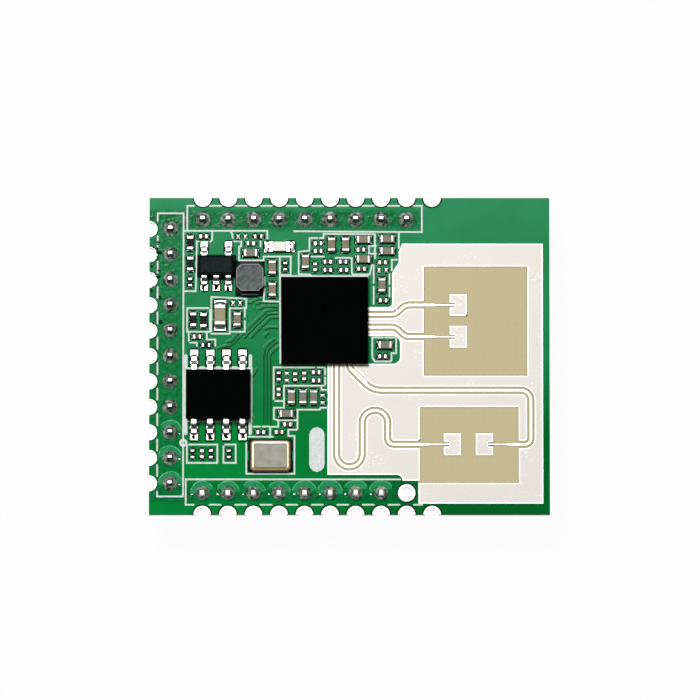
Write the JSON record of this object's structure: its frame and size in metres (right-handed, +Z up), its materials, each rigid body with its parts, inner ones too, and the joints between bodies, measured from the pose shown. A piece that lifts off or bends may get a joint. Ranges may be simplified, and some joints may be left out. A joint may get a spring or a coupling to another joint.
{
  "type": "presence radar sensor",
  "caption": "Flat radar module: green circuit board with etched patch antennas, radar chip, memory, supply parts, castellated edges and rows of downward pins.",
  "frame": {"origin": "under the middle of the board, at the level of the lower pin tips", "axes": "+X along the board's long side towards the antennas, +Y towards the top pin row, +Z up through the component side"},
  "size_m": [0.0314, 0.025, 0.0088],
  "materials": {
    "laminate": "bare woven laminate, matt",
    "solder_mask": "green solder mask, semi-gloss",
    "antenna_copper": "silver-finished copper, satin",
    "hole_plating": "silver-finished copper, satin",
    "header_plastic": "moulded black plastic",
    "pin_metal": "tinned square pins",
    "solder": "grey solder, uneven gloss",
    "chip_mould": "black moulding compound",
    "chip_substrate": "dark laminate",
    "regulator_mould": "charcoal moulding compound",
    "tinned_lead": "matt tin",
    "ferrite": "grey ferrite",
    "winding": "resin over copper wire",
    "crystal_ceramic": "dark ceramic",
    "gold": "pale gold plating",
    "lid_metal": "satin nickel alloy",
    "lamp_white": "white reflector",
    "lamp_lens": "milky resin",
    "tan_ceramic": "tan dielectric",
    "brown_ceramic": "brown dielectric",
    "grey_ceramic": "grey dielectric",
    "alumina": "white alumina",
    "overcoat": "black glaze"
  },
  "bodies": {
    "root": {"pin_hole_plating": "hole_plating", "laminate_core": "laminate", "top_solder_mask": "solder_mask", "bottom_solder_mask": "solder_mask", "antenna_ground_plane": "antenna_copper", "receive_antenna_upper": "antenna_copper", "receive_antenna_lower": "antenna_copper", "transmit_antenna_left": "antenna_copper", "transmit_antenna_right": "antenna_copper", "left_half_hole_plating": "hole_plating", "top_half_hole_plating": "hole_plating", "bottom_half_hole_plating": "hole_plating", "left_header_strip": "header_plastic", "top_header_strip": "header_plastic", "bottom_header_strip": "header_plastic", "left_header_pins": "pin_metal", "top_header_pins": "pin_metal", "bottom_header_pins": "pin_metal", "left_solder_joints": "solder", "top_solder_joints": "solder", "bottom_solder_joints": "solder", "radar_chip_cap": "chip_mould", "radar_chip_substrate": "chip_substrate", "radar_chip_balls": "solder", "memory_chip_body": "chip_mould", "memory_chip_leads": "tinned_lead", "regulator_body": "regulator_mould", "regulator_leads": "tinned_lead", "inductor_core": "ferrite", "inductor_winding": "winding", "inductor_terminals": "tinned_lead", "crystal_base": "crystal_ceramic", "crystal_seal_ring": "gold", "crystal_lid": "lid_metal", "crystal_terminals": "gold", "lamp_base": "lamp_white", "lamp_lens": "lamp_lens", "lamp_terminals": "tinned_lead", "large_capacitor_body": "tan_ceramic", "large_capacitor_terminals": "tinned_lead", "brown_capacitor_bodies": "brown_ceramic", "grey_capacitor_bodies": "grey_ceramic", "capacitor_terminals": "tinned_lead", "small_capacitor_bodies": "brown_ceramic", "small_capacitor_terminals": "tinned_lead", "resistor_bodies": "alumina", "resistor_overcoats": "overcoat", "resistor_terminals": "tinned_lead", "small_resistor_bodies": "alumina", "small_resistor_overcoats": "overcoat", "small_resistor_terminals": "tinned_lead", "chip_pads": "tinned_lead", "passive_pads": "tinned_lead"}
  },
  "joints": []
}
